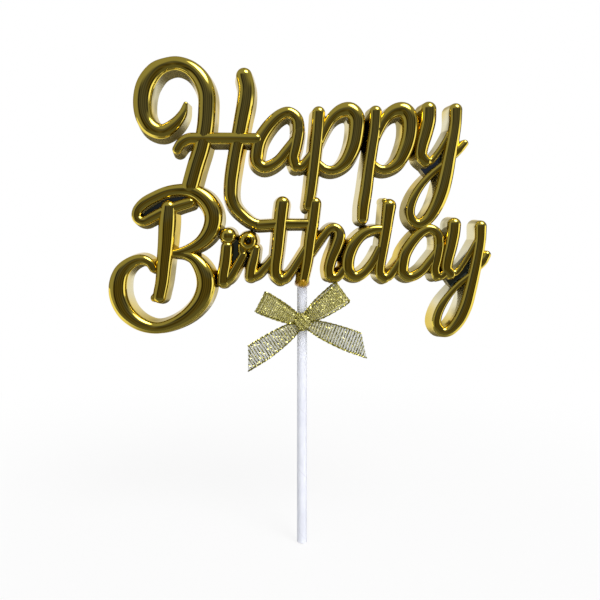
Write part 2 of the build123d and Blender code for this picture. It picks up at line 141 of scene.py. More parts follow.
# Studio room: brightness round the horizon, in degrees right of the camera's back
ROOM = [(-180, 1.0), (-143, 1.0), (-138, 0.05), (-128, 0.05), (-118, 0.3), (-52, 0.3), (-44, 0.12),
        (-39, 0.02), (-31, 0.02), (-25, 0.10), (-15, 0.045), (-6, 0.11), (3, 0.05), (14, 0.10),
        (24, 0.04), (34, 0.10), (44, 0.07), (49, 0.025), (58, 0.025), (66, 0.28), (98, 0.28),
        (110, 0.05), (138, 0.05), (148, 1.0), (180, 1.0)]
LOW_TINT = (1.0, 0.84, 0.50, 1)    # dim parts of the room, level with the object
HIGH_TINT = (1.0, 1.02, 1.6, 1)    # and above it
STRIP = (60, 68, 98, 106)          # low strip of light on the right, in the same degrees
STRIP_LEVEL = 1.0
CEILING = 0.3
TABLE = 0.11
TINT_RISE = (0.0, 0.22)            # heights, as the sine of the angle up, where the tints change over
TINT_FADE = (0.3, 0.12)            # brightness where the tints come in
STRIP_TOP = (0.24, 0.1)            # heights where the strip, the ceiling and the table come in
CEILING_RISE = (0.3, 0.6)
TABLE_FALL = (-0.25, -0.5)
WINDOW = (0.35, -0.52, 0.78)       # way from the object to a bright round window
WINDOW_EDGE = math.radians(20)
WINDOW_CORE = math.radians(6)
WINDOW_LEVEL = 8.0

# Floor, lamps and camera
FLOOR_FRONT, FLOOR_BACK = -0.35, 3.94
FLOOR_WIDTH = 6
FLOOR_GAP = 0.5 * MM               # between the stick's foot and the floor
FLOOR_GREY = 0.9
FLOOR_ROUGHNESS = 0.9
FLOOR_WHITE = (0.05, 0.3, 0.88, 1.0)  # near and far from the stick, and the share of white shown there
FLOOR_DIM = (0.07, 0.16)           # dim within the first in the object's gloss, and white past the second
FLOOR_CLEAR = (-0.055, -0.06)      # in front of this the gloss sees through the floor
LAMPS = [                          # name, place, size and power
    ("key", (0.3, -0.45, 0.2), 0.25, 1.05),
    ("fill", (-0.3, -0.45, 0.12), 0.3, 0.68),
]
SENSOR = 36
PICTURE_WIDTH = 210 * MM           # seen at the front edge of the letters
PICTURE_REACH = 199.8 * MM         # way from the camera to that edge
CAMERA_PLACE = (-11.4 * MM, -203 * MM, BASE_LINE + 8.2 * MM)
CAMERA_SHIFT = (0.05, -0.07)
CAMERA_NEAR = 0.01

# Colours
MOTTLE = (0.35, 0.65)              # values of the noise where one colour gives way to another
DEEP_GOLD = (0.86, 0.67, 0.11, 1)
GOLD_GLOSS = (0.82, 0.72, 0.5, 1)
# Painted reflection on the walls of the gold: pale cream and gold in patches, and dark patches for the
# neighbouring letters mirrored in them
WALL_PAINTED_CREAM = (0.82, 0.80, 0.64, 1)
WALL_PAINTED_GOLD = (0.80, 0.62, 0.15, 1)
WALL_PAINTED_DARK = (0.24, 0.22, 0.13, 1)
# Painted shade on the walls that face down
UNDERSIDE_PAINTED_SHADE = (0.21, 0.17, 0.065, 1)
# Painted shade in recesses behind the fronts
RECESS_PAINTED_SHADE = (0.15, 0.20, 0.22, 1)
BACK_DARK = (0.40, 0.30, 0.07, 1)
BACK_LIGHT = (0.60, 0.46, 0.12, 1)
PAPER_DARK = (0.76, 0.78, 0.86, 1)
PAPER_LIGHT = (0.81, 0.83, 0.90, 1)
PAPER_SEAM = (0.70, 0.70, 0.78, 1)
AMBER_DARK = (0.30, 0.13, 0.003, 1)
AMBER_LIGHT = (0.50, 0.28, 0.01, 1)
THREAD_DARK = (0.50, 0.46, 0.07, 1)
THREAD_LIGHT = (0.92, 0.86, 0.36, 1)
PALE_SILK = ((0.48, 0.49, 0.42, 1), (0.78, 0.79, 0.76, 1))
GOLD_SILK = ((0.46, 0.42, 0.09, 1), (0.82, 0.77, 0.34, 1))
GAUZE_DARK = (0.30, 0.27, 0.04, 1)
GAUZE_LIGHT = (0.68, 0.62, 0.20, 1)
GAUZE_FADED = (0.58, 0.60, 0.54, 1)

# The letters are drawn on squared paper. Squares count from the stick's axis and the lower
# line's base: (across, up, stroke width). Each stroke says which of its ends stand free, and
# so are rounded. A stroke that crosses itself is drawn in two stretches.
SQUARE = 0.35 * MM
BOTH = (True, True)
FIRST = (True, False)
LAST = (False, True)
NEITHER = (False, False)

LETTERS = {
    "upper_h": [
        (BOTH, [(-117, 177.5, 4), (-120, 167.5, 8), (-127.5, 157.5, 11), (-139.5, 150, 13),
                (-151.5, 154, 14.5), (-158.5, 165.5, 15.5), (-160, 181.5, 16.5), (-156.5, 197.5, 16.5),
                (-147.5, 210.5, 15), (-136.5, 216.5, 12.5), (-124.5, 218, 12), (-111.5, 213, 13),
                (-101.5, 202.5, 15), (-96, 188.5, 15.5), (-95.5, 173.5, 15.5), (-97, 153.5, 15.5),
                (-101, 133.5, 15.5), (-106.5, 115.5, 15.5), (-112, 95.5, 15.5)]),
        (BOTH, [(-58.5, 205.5, 14), (-56, 193.5, 14.5), (-57, 179.5, 15), (-60, 163.5, 14.5),
                (-63, 147.5, 14), (-66.5, 131.5, 13), (-69.5, 113.5, 13), (-71.5, 97.5, 12.5),
                (-71.5, 84.5, 12), (-68, 75, 11), (-60.5, 66.5, 10), (-50.5, 59, 9), (-40.5, 56.5, 8)]),
        (BOTH, [(-125, 131.5, 8.5), (-120.5, 138, 9.5), (-113.5, 142, 10), (-102.5, 142.5, 10),
                (-72.5, 142.5, 10), (-46, 142, 10)]),
    ],
    "upper_a": [
        (NEITHER, [(-4.4, 151, 10.4), (-4.3, 157, 10.6), (-5.6, 162.5, 10.3), (-9.5, 167, 10), (-16, 169, 10),
                   (-25, 164.5, 10.5), (-34.5, 154.5, 11.5), (-42.5, 141.5, 12.5), (-45.5, 129.5, 12.5)],
         [(-45.5, 120, 11.5), (-39.5, 114.5, 10.5), (-31.5, 116, 10), (-23, 122, 9.5), (-15, 132, 9),
          (-6, 146, 6)]),
        (LAST, [(-3.9, 156.5, 9.6), (-4.1, 149, 10.9), (-6.5, 135.5, 11), (-9, 123.5, 10), (-7, 115, 9)]),
        (LAST, [(-8, 118.5, 8), (-2.5, 114.5, 8), (4, 120, 8), (12, 131, 7.5)]),
    ],
    "upper_p_1": [
        (BOTH, [(16, 168.5, 11.5), (15, 151.5, 11.5), (13, 131.5, 11.5), (10.5, 109.5, 11),
                (8, 89.5, 10.5), (5.5, 75.5, 9.5)]),
        (NEITHER, [(16.5, 137.5, 7), (22, 150.5, 8), (29, 163, 9.5), (38.5, 170.5, 12), (48, 171, 14),
                   (54, 162.5, 14.5), (53.5, 147.5, 14), (50, 132.5, 13.5), (43, 119.5, 11.5),
                   (33, 112, 8.5), (23.5, 112, 7.5), (15.5, 118, 7)]),
    ],
    "upper_p_2": [
        (BOTH, [(73, 169.5, 11), (72, 151.5, 11), (69, 131.5, 11), (66, 111.5, 11), (63.5, 91.5, 11.5),
                (61, 75.5, 11.5), (60, 63.5, 10.5)]),
        (NEITHER, [(72, 138.5, 7), (77, 151.5, 8), (83.5, 163.5, 9.5), (92, 170.5, 12),
                   (101.5, 171, 14), (107, 162.5, 14.5), (107, 147.5, 14), (103, 132.5, 13.5),
                   (96, 119.5, 11.5), (86, 112.5, 8.5), (77, 112.5, 7.5), (69, 118.5, 7)]),
    ],
    "upper_y": [
        (BOTH, [(126, 172, 13.5), (125.5, 160.5, 13.5), (122.5, 147.5, 13), (119, 134.5, 12),
                (118.5, 125.5, 11), (123, 120, 10)]),
        (NEITHER, [(121, 121.5, 9), (128.5, 121, 6.5), (135.5, 129, 5.5), (142, 139.5, 5),
                   (148.5, 151.5, 5)]),
        (BOTH, [(153, 171.5, 11.5), (152.5, 157.5, 11), (150, 141.5, 11.5), (146.5, 123.5, 12),
                (143, 105.5, 13), (139, 89.5, 13), (133, 74.5, 12), (125, 62.5, 10.5), (116, 57.5, 9.5),
                (109, 62.5, 8.5)],
         [(107.5, 71.5, 8.5), (111, 83.5, 8), (118.5, 96, 7), (128.5, 107, 6), (139.5, 116.5, 5),
          (150.5, 125, 5), (156.5, 132, 7.5), (162, 138, 6.5)]),
    ],
    "lower_b": [
        (FIRST, [(-112.5, 79, 9), (-122.5, 76, 9.5), (-137.5, 70.5, 9.5), (-150.5, 64, 9),
                 (-159, 60, 8.5), (-165.5, 63.5, 8.5)],
         [(-165, 71, 9), (-158, 78.5, 10), (-147.5, 84.5, 10), (-135.5, 89.5, 10), (-122.5, 91.5, 10.5),
          (-109.5, 90, 12.5), (-98.5, 83.5, 15), (-91.5, 74, 16), (-89, 63, 16), (-92, 51, 15),
          (-100.5, 40, 12), (-112, 33, 9), (-124.5, 29, 6.5), (-134.5, 28, 6)]),
        (LAST, [(-130.5, 27.5, 5.5), (-119.5, 27, 7), (-110, 23.5, 10), (-102, 15.5, 14),
                (-97, 4.5, 16.5), (-97, -7.5, 16.5), (-102.5, -21, 15.5), (-114, -33.5, 13.5),
                (-129.5, -42.5, 11), (-146, -46.5, 10)],
         [(-162, -42.5, 12), (-175.5, -32, 14.5), (-183, -18, 16), (-184.5, -4, 16), (-181, 9, 14),
          (-172.5, 18, 11), (-162, 22, 9), (-153.5, 19, 8), (-149.5, 12.5, 6.5)]),
        (BOTH, [(-134, 73.5, 13.5), (-135, 59.5, 15.5), (-136.5, 36.5, 14.5), (-138.5, 16.5, 13.5),
                (-140, 0.5, 12.5), (-143, -15, 12)]),
        (LAST, [(-141, -6, 11), (-143.5, -12.5, 10), (-148, -16.5, 7)]),
    ],
    "lower_i": [
        (BOTH, [(-75.5, 34.5, 10.5), (-77, 19.5, 11), (-79, 7.5, 11), (-79.5, 0, 11)]),
        (LAST, [(-79, 0, 9), (-72.5, 4, 8.5), (-66, 14.5, 8), (-59.5, 26.5, 7.5)]),
    ],
    "lower_r": [
        (BOTH, [(-46.5, 32.5, 8), (-48.5, 23.5, 9.5), (-51, 13.5, 10), (-52, 5, 10)]),
        (LAST, [(-51.5, 4.5, 8), (-44.5, 7, 7.5), (-37, 14.5, 7), (-28.5, 24.5, 7)]),
        (NEITHER, [(-56, 35, 5), (-51, 32, 6.5), (-45.5, 34, 5.5)]),
        (NEITHER, [(-59.5, 26.5, 7), (-61, 32.5, 6.5), (-61, 37.5, 5.5)]),
    ],
    "lower_t": [
        (BOTH, [(-20, 78, 12.5), (-21.5, 66.5, 12.5), (-23, 51.5, 12), (-25, 31.5, 11.5),
                (-27, 15.5, 11), (-26.5, 6.5, 10.5), (-22, 1.5, 9.5)]),
        (LAST, [(-24.5, 3, 9), (-17.5, 3, 8.5), (-11, 10, 7.5), (-4.5, 20, 7), (4, 33.5, 7)]),
        (BOTH, [(-44.5, 56.5, 9), (-34.5, 57, 9), (-20.5, 58, 8.5), (-6.5, 58, 8), (8.5, 58, 8)]),
    ],
    "lower_h": [
        (BOTH, [(12.5, 78, 11), (10.5, 61.5, 11), (7.5, 41.5, 11), (5, 21.5, 10), (2.5, 7.5, 9),
                (1, 0.5, 8.5)]),
        (LAST, [(6, 23.5, 7), (12, 32.5, 7), (19, 43, 7.5), (25, 51, 7.5), (30.5, 54, 8),
                (35.5, 51.5, 9), (37, 45, 10.5), (34, 35, 11), (29.5, 24.5, 10.5), (26.5, 13.5, 10),
                (27, 6, 9.5)]),
        (LAST, [(27.5, 4.5, 8.5), (35.5, 5, 8), (42.5, 13.5, 8)]),
    ],
    "lower_d": [
        (NEITHER, [(81.5, 52.5, 7), (71.5, 52, 8), (61, 48, 9.5), (52, 38.5, 11), (46.5, 26.5, 11.5),
                   (45, 16, 11.5), (46.5, 9.5, 11), (51, 5.5, 10), (57, 6, 9.5), (64, 11.5, 9), (71, 21, 8.5),
                   (77.5, 33.5, 8)]),
        (BOTH, [(86.5, 75.5, 12.5), (85, 64.5, 11.5), (83, 49.5, 10.5), (80, 31.5, 10),
                (77.5, 16.5, 9.5), (77.5, 7.5, 9), (82, 3, 8.5)]),
        (LAST, [(86.5, 67, 10), (85.5, 75, 10), (82, 80.5, 5)]),
        (LAST, [(79, 4.5, 8.5), (86, 5, 8), (92.5, 13, 7.5), (99.5, 23.5, 7.5)]),
    ],
    "lower_y": [
        (BOTH, [(151.5, 57, 12), (150.5, 47.5, 12), (148, 34.5, 11.5), (145, 22.5, 11), (144, 13, 10),
                (148, 7, 9)]),
        (NEITHER, [(146.5, 8, 8), (153.5, 9, 6), (159.5, 16, 5), (165.5, 25.5, 5), (174.5, 41.5, 5)]),
        (BOTH, [(178, 55, 10.5), (177.5, 41.5, 10), (175, 25.5, 10), (171.5, 8.5, 10.5),
                (167.5, -8.5, 11), (163, -24.5, 11.5), (156, -39, 11), (147, -49, 9.5), (139, -50, 9),
                (134, -43, 8.5)],
         [(135, -33.5, 8), (140, -22.5, 7.5), (148, -11.5, 6), (157, -2, 5), (167.5, 6.5, 5),
          (176.5, 15.5, 7), (180.5, 21, 8.5), (184, 26.5, 7.5)]),
    ],
}

# The lower a is the upper one, smaller: corner of each on the squares, and their ratio
UPPER_A_CORNER = (-52, 109)
LOWER_A_CORNER = (94.5, 0)
LOWER_A_SIZE = 0.876

# Round details on the same squares, and the pit of the second as shares of its half width:
# (side, depth behind the front edge) from the rim to the middle
I_DOT = (-74.5, 45.5, 14.5)
R_EYE = (-54.5, 40.5, 17)
EYE_PIT = [(0.62, -0.62), (0.5, -0.66), (0.38, -0.55), (0.28, -0.1), (0.22, 0.4), (0.12, 0.68), (0, 0.7)]
PIT_MARGIN = 1.05          # the dot's own points nearer the middle than the rim times this are left out

# Corners, on the same squares, of the plates that close narrow gaps
WEBS = {
    "lower_b": [(-163, 66), (-151, 81), (-136, 88), (-120, 88), (-116, 80), (-137, 71), (-157, 62)],
    "lower_i": [(-75, 42), (-62, 41), (-60, 30), (-63, 21), (-72, 8), (-77, 12)],
    "upper_y": [(119, 114), (128, 121), (136, 129), (144, 139), (147, 125), (140, 117), (129, 107),
                (124, 107.5)],
    "lower_y": [(144.8, 1.5), (154, 9), (160, 17), (168, 27), (171, 12), (166, 5), (156, -3), (150, -6)],
}


# Small tools for modelling


def deselect():
    bpy.ops.object.select_all(action="DESELECT")


def pick(piece):
    deselect()
    piece.select_set(True)
    bpy.context.view_layer.objects.active = piece


def new_piece(name, mesh):
    """A linked object that holds the mesh and is the only one selected"""
    piece = bpy.data.objects.new(name, mesh)
    bpy.context.collection.objects.link(piece)
    pick(piece)
    return piece


def from_bmesh(name, shape):
    """Object from a bmesh, with faces pointing outwards"""
    bmesh.ops.recalc_face_normals(shape, faces=shape.faces)
    mesh = bpy.data.meshes.new(name)
    shape.to_mesh(mesh)
    shape.free()
    return new_piece(name, mesh)


def apply_step(piece, kind, **settings):
    """Adds a modifier with its settings and applies it"""
    pick(piece)
    step = piece.modifiers.new(kind, kind)
    for name, value in settings.items():
        setattr(step, name, value)
    bpy.ops.object.modifier_apply(modifier=step.name)


def join_solid(piece, other):
    """Fuses other into the piece, also where one of them passes through itself"""
    apply_step(piece, "BOOLEAN", operation="UNION", solver="EXACT", use_self=True, object=other)
    bpy.data.objects.remove(other)


def finish_piece(piece, slot, node, *materials):
    """Dresses a piece and lets it stand for its node"""
    for material in materials:
        piece.data.materials.append(material)
    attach(piece, "root")
    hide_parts(node)


# Smooth lines through drawn points


def between(before, start, stop, after, share):
    """Point on the smooth curve from start to stop that also heeds the points beside them"""
    return tuple(b + share * (c - a) / 2 + share ** 2 * (a - 2.5 * b + 2 * c - d / 2)
                 + share ** 3 * (3 * (b - c) + d - a) / 2
                 for a, b, c, d in zip(before, start, stop, after))


def smooth(points, step):
    """Close-set points on a smooth curve through the drawn ones"""
    first = tuple(2 * a - b for a, b in zip(points[0], points[1]))
    last = tuple(2 * a - b for a, b in zip(points[-1], points[-2]))
    guide = [first] + points + [last]
    curve = []
    for before, start, stop, after in zip(guide, guide[1:], guide[2:], guide[3:]):
        steps = math.ceil(math.dist(start[:2], stop[:2]) / step)
        curve += [between(before, start, stop, after, i / steps) for i in range(steps)]
    return curve + [points[-1]]


def heading(points, i):
    """Unit direction in which a stroke runs at point i"""
    before = points[max(i - 1, 0)]
    after = points[min(i + 1, len(points) - 1)]
    length = math.dist(before[:2], after[:2])
    return (after[0] - before[0]) / length, (after[1] - before[1]) / length


# Moulded lettering


def smaller_a():
    """Strokes of the lower a, from those of the upper one; its exit ends sooner, inside the y"""
    def shift(spot):
        across = LOWER_A_CORNER[0] + (spot[0] - UPPER_A_CORNER[0]) * LOWER_A_SIZE
        up = LOWER_A_CORNER[1] + (spot[1] - UPPER_A_CORNER[1]) * LOWER_A_SIZE
        return across, up, spot[2] * LOWER_A_SIZE
    strokes = [(ends, *[[shift(spot) for spot in stretch] for stretch in stretches])
               for ends, *stretches in LETTERS["upper_a"]]
    leaving = strokes[-1][-1]
    leaving.pop()
    return strokes


def on_paper(spot):
    """A drawn point in metres: across, up, half the stroke's width"""
    across, up, width = spot
    return across * SQUARE, BASE_LINE + up * SQUARE, SWELL * width * SQUARE / 2


def half_section(half):
    """(side, depth) points from the back's edge, up the wall and over the front, short of the crest"""
    foot = half + DRAFT
    points = [(foot - BACK_ROUNDING, BACK), (foot, BACK - BACK_ROUNDING)]
    for step in range(DOME_STEPS // 2):
        turn = math.pi * step / DOME_STEPS
        points.append((half * math.cos(turn), FRONT - DOME_RISE * half * math.sin(turn)))
    return points


def stroke(ends, *stretches):
    """One closed stroke with a flat back, drafted walls, a rounded front and rounded free ends"""
    points = smooth([on_paper(spot) for stretch in stretches for spot in stretch], RING_STEP)
    shape = bmesh.new()

    def corner(i, side, depth, turn=0.0):
        """Vertex at a side and depth of ring i; turn swings the side towards the stroke's heading"""
        x, z, _ = points[i]
        run_x, run_z = heading(points, i)
        ahead = side * math.sin(turn)
        aside = side * math.cos(turn)
        across = x - run_z * aside + run_x * ahead
        up = z + run_x * aside + run_z * ahead
        return shape.verts.new((across, depth, up))

    rings = []
    for i, (_, _, half) in enumerate(points):
        right = half_section(half)
        ring = [corner(i, 0, BACK)]
        ring += [corner(i, side, depth) for side, depth in right]
        ring.append(corner(i, 0, FRONT - DOME_RISE * half))
        ring += [corner(i, -side, depth) for side, depth in reversed(right)]
        rings.append(ring)
    for here, there in zip(rings, rings[1:]):
        for j in range(len(here)):
            shape.faces.new((here[j - 1], here[j], there[j], there[j - 1]))
    for i, free, way in ((0, ends[0], -1), (len(points) - 1, ends[1], 1)):
        ring = rings[i]
        if not free:
            shape.faces.new(ring)
            continue
        middle = len(ring) // 2
        columns = [ring[1:middle]]
        for step in range(1, END_STEPS):
            turn = way * math.pi * step / END_STEPS
            columns.append([corner(i, side, depth, turn) for side, depth in half_section(points[i][2])])
        columns.append(ring[:middle:-1])
        for here, there in zip(columns, columns[1:]):
            for j in range(len(here) - 1):
                shape.faces.new((here[j], here[j + 1], there[j + 1], there[j]))
            shape.faces.new((here[-1], ring[middle], there[-1]))
            shape.faces.new((here[0], there[0], ring[0]))
    return from_bmesh("stroke", shape)


def turned(name, x, z, profile, axis):
    """Closed shape turned about an axis through (x, z); profile is (radius, place along the axis)"""
    shape = bmesh.new()
    along_y = axis == "Y"
    line = [shape.verts.new((x + radius, place, z) if along_y else (x + radius, 0, place))
            for radius, place in profile]
    edges = [shape.edges.new(pair) for pair in zip(line, line[1:])]
    direction = (0, 1, 0) if along_y else (0, 0, 1)
    bmesh.ops.spin(shape, geom=line + edges, cent=(x, 0, z), axis=direction, angle=math.tau,
                   steps=TURN_STEPS)
    bmesh.ops.remove_doubles(shape, verts=shape.verts, dist=MERGE)
    return from_bmesh(name, shape)


def dot(spot, pit=()):
    """A round dot with the walls and front of a stroke, or with a pit in its front"""
    x, z, half = on_paper(spot)
    edge = half_section(half)
    middle = [(0, FRONT - DOME_RISE * half)]
    if pit:
        rim = pit[0][0] * half * PIT_MARGIN
        edge = [(side, depth) for side, depth in edge if side > rim]
        middle = [(half * side, FRONT + half * depth) for side, depth in pit]
    return turned("dot", x, z, [(0, BACK)] + edge + middle, "Y")


def socket():
    """Flared sleeve under the h, where the stick goes in"""
    top = STICK_TOP + SOCKET_ROOF
    profile = [(0, SOCKET_FOOT), (SOCKET_RADIUS - 0.2 * MM, SOCKET_FOOT),
               (SOCKET_RADIUS, SOCKET_FOOT + 0.2 * MM), (SOCKET_RADIUS - 0.1 * MM, SOCKET_FOOT + 1.5 * MM),
               (SOCKET_RADIUS - 0.3 * MM, top - 0.4 * MM), (SOCKET_RADIUS - 0.8 * MM, top), (0, top)]
    return turned("socket", 0, 0, profile, "Z")


def web(corners):
    """Plate flush with the backs of the strokes and set behind their fronts"""
    shape = bmesh.new()
    spots = [on_paper((across, up, 0)) for across, up in corners]
    face = shape.faces.new([shape.verts.new((x, BACK, z)) for x, z, _ in spots])
    grown = bmesh.ops.extrude_face_region(shape, geom=[face])["geom"]
    front = [part for part in grown if isinstance(part, bmesh.types.BMVert)]
    bmesh.ops.translate(shape, verts=front, vec=(0, -WEB_THICKNESS, 0))
    return from_bmesh("web", shape)


def letter(name, setback):
    """A whole letter out of its strokes, web and round details, with its back set in a little"""
    strokes = smaller_a() if name == "lower_a" else LETTERS[name]
    parts = [stroke(*one) for one in strokes]
    if name == "upper_h":
        for spot in parts[-1].data.vertices:
            spot.co.y -= BAR_LIFT if spot.co.y < FRONT + CLOSE else 0
    if name in WEBS:
        parts.append(web(WEBS[name]))
    if name == "lower_h":
        parts.append(socket())
    if name == "lower_i":
        parts.append(dot(I_DOT))
    if name == "lower_r":
        parts.append(dot(R_EYE, EYE_PIT))
    whole = parts[0]
    for part in parts[1:]:
        join_solid(whole, part)
    for spot in whole.data.vertices:
        spot.co.y -= setback if spot.co.y > BACK - CLOSE else 0
    whole.name = name + "_plated"
    whole.data.name = whole.name
    pick(whole)
    bpy.ops.object.shade_smooth_by_angle(angle=CREASE)
    return whole


# Paper stick and glue


def select_ring(piece, keep):
    """Goes into edit mode with only the points chosen by keep selected"""
    pick(piece)
    bpy.ops.object.mode_set(mode="EDIT")
    bpy.ops.mesh.select_mode(type="VERT")
    bpy.ops.mesh.select_all(action="DESELECT")
    bpy.ops.object.mode_set(mode="OBJECT")
    for spot in piece.data.vertices:
        spot.select = keep(spot.co)
    bpy.ops.object.mode_set(mode="EDIT")


def paper_stick():
    """Rolled paper stick, pressed in under the ribbon, with soft rims and a hollow core at each end"""
    deselect()
    middle = (0, 0, STICK_TOP / 2)
    bpy.ops.mesh.primitive_cylinder_add(vertices=STICK_SIDES, radius=STICK_RADIUS, depth=STICK_TOP,
                                        location=middle)
    stick = bpy.context.object
    stick.name = "paper_stick"
    bpy.ops.object.transform_apply(location=True, rotation=False, scale=False)
    waist = (KNOT_UP - WAIST_HEIGHT / 2, KNOT_UP + WAIST_HEIGHT / 2)
    bpy.ops.object.mode_set(mode="EDIT")
    for up in (waist[0] - WAIST_SLOPE, waist[0], waist[1], waist[1] + WAIST_SLOPE):
        bpy.ops.mesh.select_all(action="SELECT")
        bpy.ops.mesh.bisect(plane_co=(0, 0, up), plane_no=(0, 0, 1))
    bpy.ops.object.mode_set(mode="OBJECT")
    select_ring(stick, lambda spot: waist[0] - CLOSE < spot.z < waist[1] + CLOSE)
    slim = 1 - WAIST_DEPTH / STICK_RADIUS
    bpy.ops.transform.resize(value=(slim, slim, 1), center_override=(0, 0, KNOT_UP))
    for up, inward in ((0, 1), (STICK_TOP, -1)):
        bpy.ops.object.mode_set(mode="OBJECT")
        select_ring(stick, lambda spot: abs(spot.z - up) < CLOSE)
        bpy.ops.mesh.inset(thickness=STICK_RADIUS - CORE_RADIUS)
        bpy.ops.mesh.extrude_region_move(TRANSFORM_OT_translate={"value": (0, 0, inward * CORE_DEPTH)})
    bpy.ops.object.mode_set(mode="OBJECT")
    apply_step(stick, "BEVEL", width=RIM_ROUNDING, segments=3, limit_method="ANGLE", angle_limit=RIM_ANGLE)
    bpy.ops.object.shade_smooth_by_angle(angle=CREASE)
    return stick


def amber_bead():
    """Amber glue round the foot of the h: a bead below, and an uneven skin drawn up the sleeve"""
    skin = SOCKET_RADIUS + GLUE_SKIN
    foot = SOCKET_FOOT - GLUE_DROP
    top = SOCKET_FOOT + GLUE_RISE
    inside = STICK_RADIUS + 0.02 * MM
    profile = [(inside, SOCKET_FOOT), (inside, foot), (inside + 0.25 * MM, foot - 0.05 * MM),
               (inside + 0.6 * MM, foot + 0.35 * MM), (skin, SOCKET_FOOT - 0.05 * MM),
               (skin + 0.1 * MM, SOCKET_FOOT + 0.7 * MM), (skin, SOCKET_FOOT + 1.6 * MM),
               (skin - 0.1 * MM, top), (SOCKET_RADIUS - 0.5 * MM, top)]
    bead = turned("amber_bead", 0, 0, profile + profile[:1], "Z")
    for spot in bead.data.vertices:
        turn = math.atan2(spot.co.y, spot.co.x)
        height = (spot.co.z - SOCKET_FOOT) / GLUE_RISE
        is_outside = math.hypot(spot.co.x, spot.co.y) > inside + 0.1 * MM
        if height > 0.5:
            spot.co.z += GLUE_WAVE * (math.sin(3 * turn + 0.6) + 0.6 * math.sin(5 * turn + 2)) * height
        elif height < -0.1 and is_outside:
            spot.co.z += GLUE_WAVE * 0.5 * math.sin(2 * turn + 1.2)
        if spot.co.y < 0 and is_outside:
            spot.co.y *= 1 + GLUE_FORWARD * math.sqrt(math.sin(-turn))
    pick(bead)
    bpy.ops.object.shade_smooth()
    return bead


# Ribbon bow, woven thread by thread


def along(points, place):
    """Values between two neighbouring points; place counts points from the first"""
    i = max(0, min(int(place), len(points) - 2))
    share = place - i
    return [a + share * (b - a) for a, b in zip(points[i], points[i + 1])]


def loose_ribbon(turn, route):
    """Stretch that leaves the knot: its surface, from (place, side -1 to 1) to a point, and its places"""
    out = Vector((math.cos(turn), 0, math.sin(turn)))
    across = Vector((-out.z, 0, out.x))
    points = smooth(route, RIBBON_STEP)

    def spot(place, side):
        reach, depth, half, lean = along(points, place)
        gather = 1 - half / HALF_RIBBON
        pleat = PLEAT_DEPTH * gather * math.cos(PLEATS * math.pi * side + 0.5)
        return Vector((0, depth + pleat, KNOT_UP)) + out * reach + across * (half * side + lean)
    return spot, points


def loop_surface(turn, length):
    """Loop of the bow: out along the front, round the fold and back behind, a little to one side"""
    bend = LOOP_DEPTH / 2
    layer = [(KNOT_WIDTH / 4, 0.35 * MM, HALF_NECK, 0), (0.45 * length, bend, 0.8 * HALF_RIBBON, 0)]
    route = [(reach, KNOT_DEEP - depth, half, lean) for reach, depth, half, lean in layer]
    for angle in (-90, -45, 0, 45, 90):
        fold = math.radians(angle)
        lean = LOOP_LEAN * (angle + 90) / 180
        route.append((length - bend + bend * math.cos(fold), KNOT_DEEP + bend * math.sin(fold),
                      HALF_RIBBON, lean))
    route += [(reach, KNOT_DEEP + depth, half, LOOP_LEAN * half / HALF_RIBBON)
              for reach, depth, half, _ in reversed(layer)]
    spot, points = loose_ribbon(turn, route)
    return spot, lambda side: len(points) - 1


def tail_surface(turn, cut):
    """Loose end of the bow, widening from the knot, with a slanted cut"""
    forward = KNOT_DEEP - TAIL_SWING
    past = HALF_RIBBON
    route = [(KNOT_WIDTH / 4, KNOT_DEEP, HALF_NECK, 0), (0.35 * TAIL_REACH, forward, 0.8 * HALF_RIBBON, 0),
             (0.7 * TAIL_REACH, forward, HALF_RIBBON, 0), (TAIL_REACH, KNOT_DEEP, HALF_RIBBON, 0),
             (TAIL_REACH + past, KNOT_DEEP + TAIL_SWING, HALF_RIBBON, 0)]
    spot, points = loose_ribbon(turn, route)

    def limit(side):
        """Place where the slanted cut crosses a side of the ribbon"""
        reach = TAIL_REACH + math.tan(cut) * HALF_RIBBON * side
        after = next(i for i, point in enumerate(points) if point[0] > reach)
        step = points[after][0] - points[after - 1][0]
        return after - 1 + (reach - points[after - 1][0]) / step
    return spot, limit


def knot_surface():
    """Ribbon gathered into folds and drawn slantwise round the middle of the bow"""
    run = Vector((math.cos(KNOT_TURN), 0, math.sin(KNOT_TURN)))
    across = Vector((-run.z, 0, run.x))

    def spot(place, side):
        turn = math.tau * place / KNOT_PLACES
        flat = (abs(math.cos(turn)) ** 3 + abs(math.sin(turn)) ** 3) ** (-1 / 3)
        fold = KNOT_FOLD * math.cos(KNOT_FOLDS * math.pi * side + 0.4 * math.sin(turn))
        crown = 1 - 0.18 * side ** 2
        long = (KNOT_LONG * crown + fold) * flat * math.cos(turn)
        deep = (KNOT_THICK * crown + fold) * flat * math.sin(turn)
        wide = KNOT_BROAD * side * (1 - 0.12 * abs(math.cos(turn)))
        return Vector((0, KNOT_DEEP - deep, KNOT_UP)) + run * long + across * wide
    return spot, KNOT_PLACES


def wrap_surface():
    """Ribbon drawn tight round the stick behind the knot"""
    def spot(place, side):
        turn = math.tau * place / WRAP_PLACES
        radius = WRAP_RADIUS + 0.1 * MM * math.cos(4 * math.pi * side + 2 * turn)
        return Vector((radius * math.cos(turn), radius * math.sin(turn), KNOT_UP + WRAP_HALF * side))
    return spot, WRAP_PLACES


def surface_normal(spot, place, side):
    ahead = spot(place + 0.05, side) - spot(place - 0.05, side)
    aside = spot(place, side + 0.01) - spot(place, side - 0.01)
    return ahead.cross(aside).normalized()


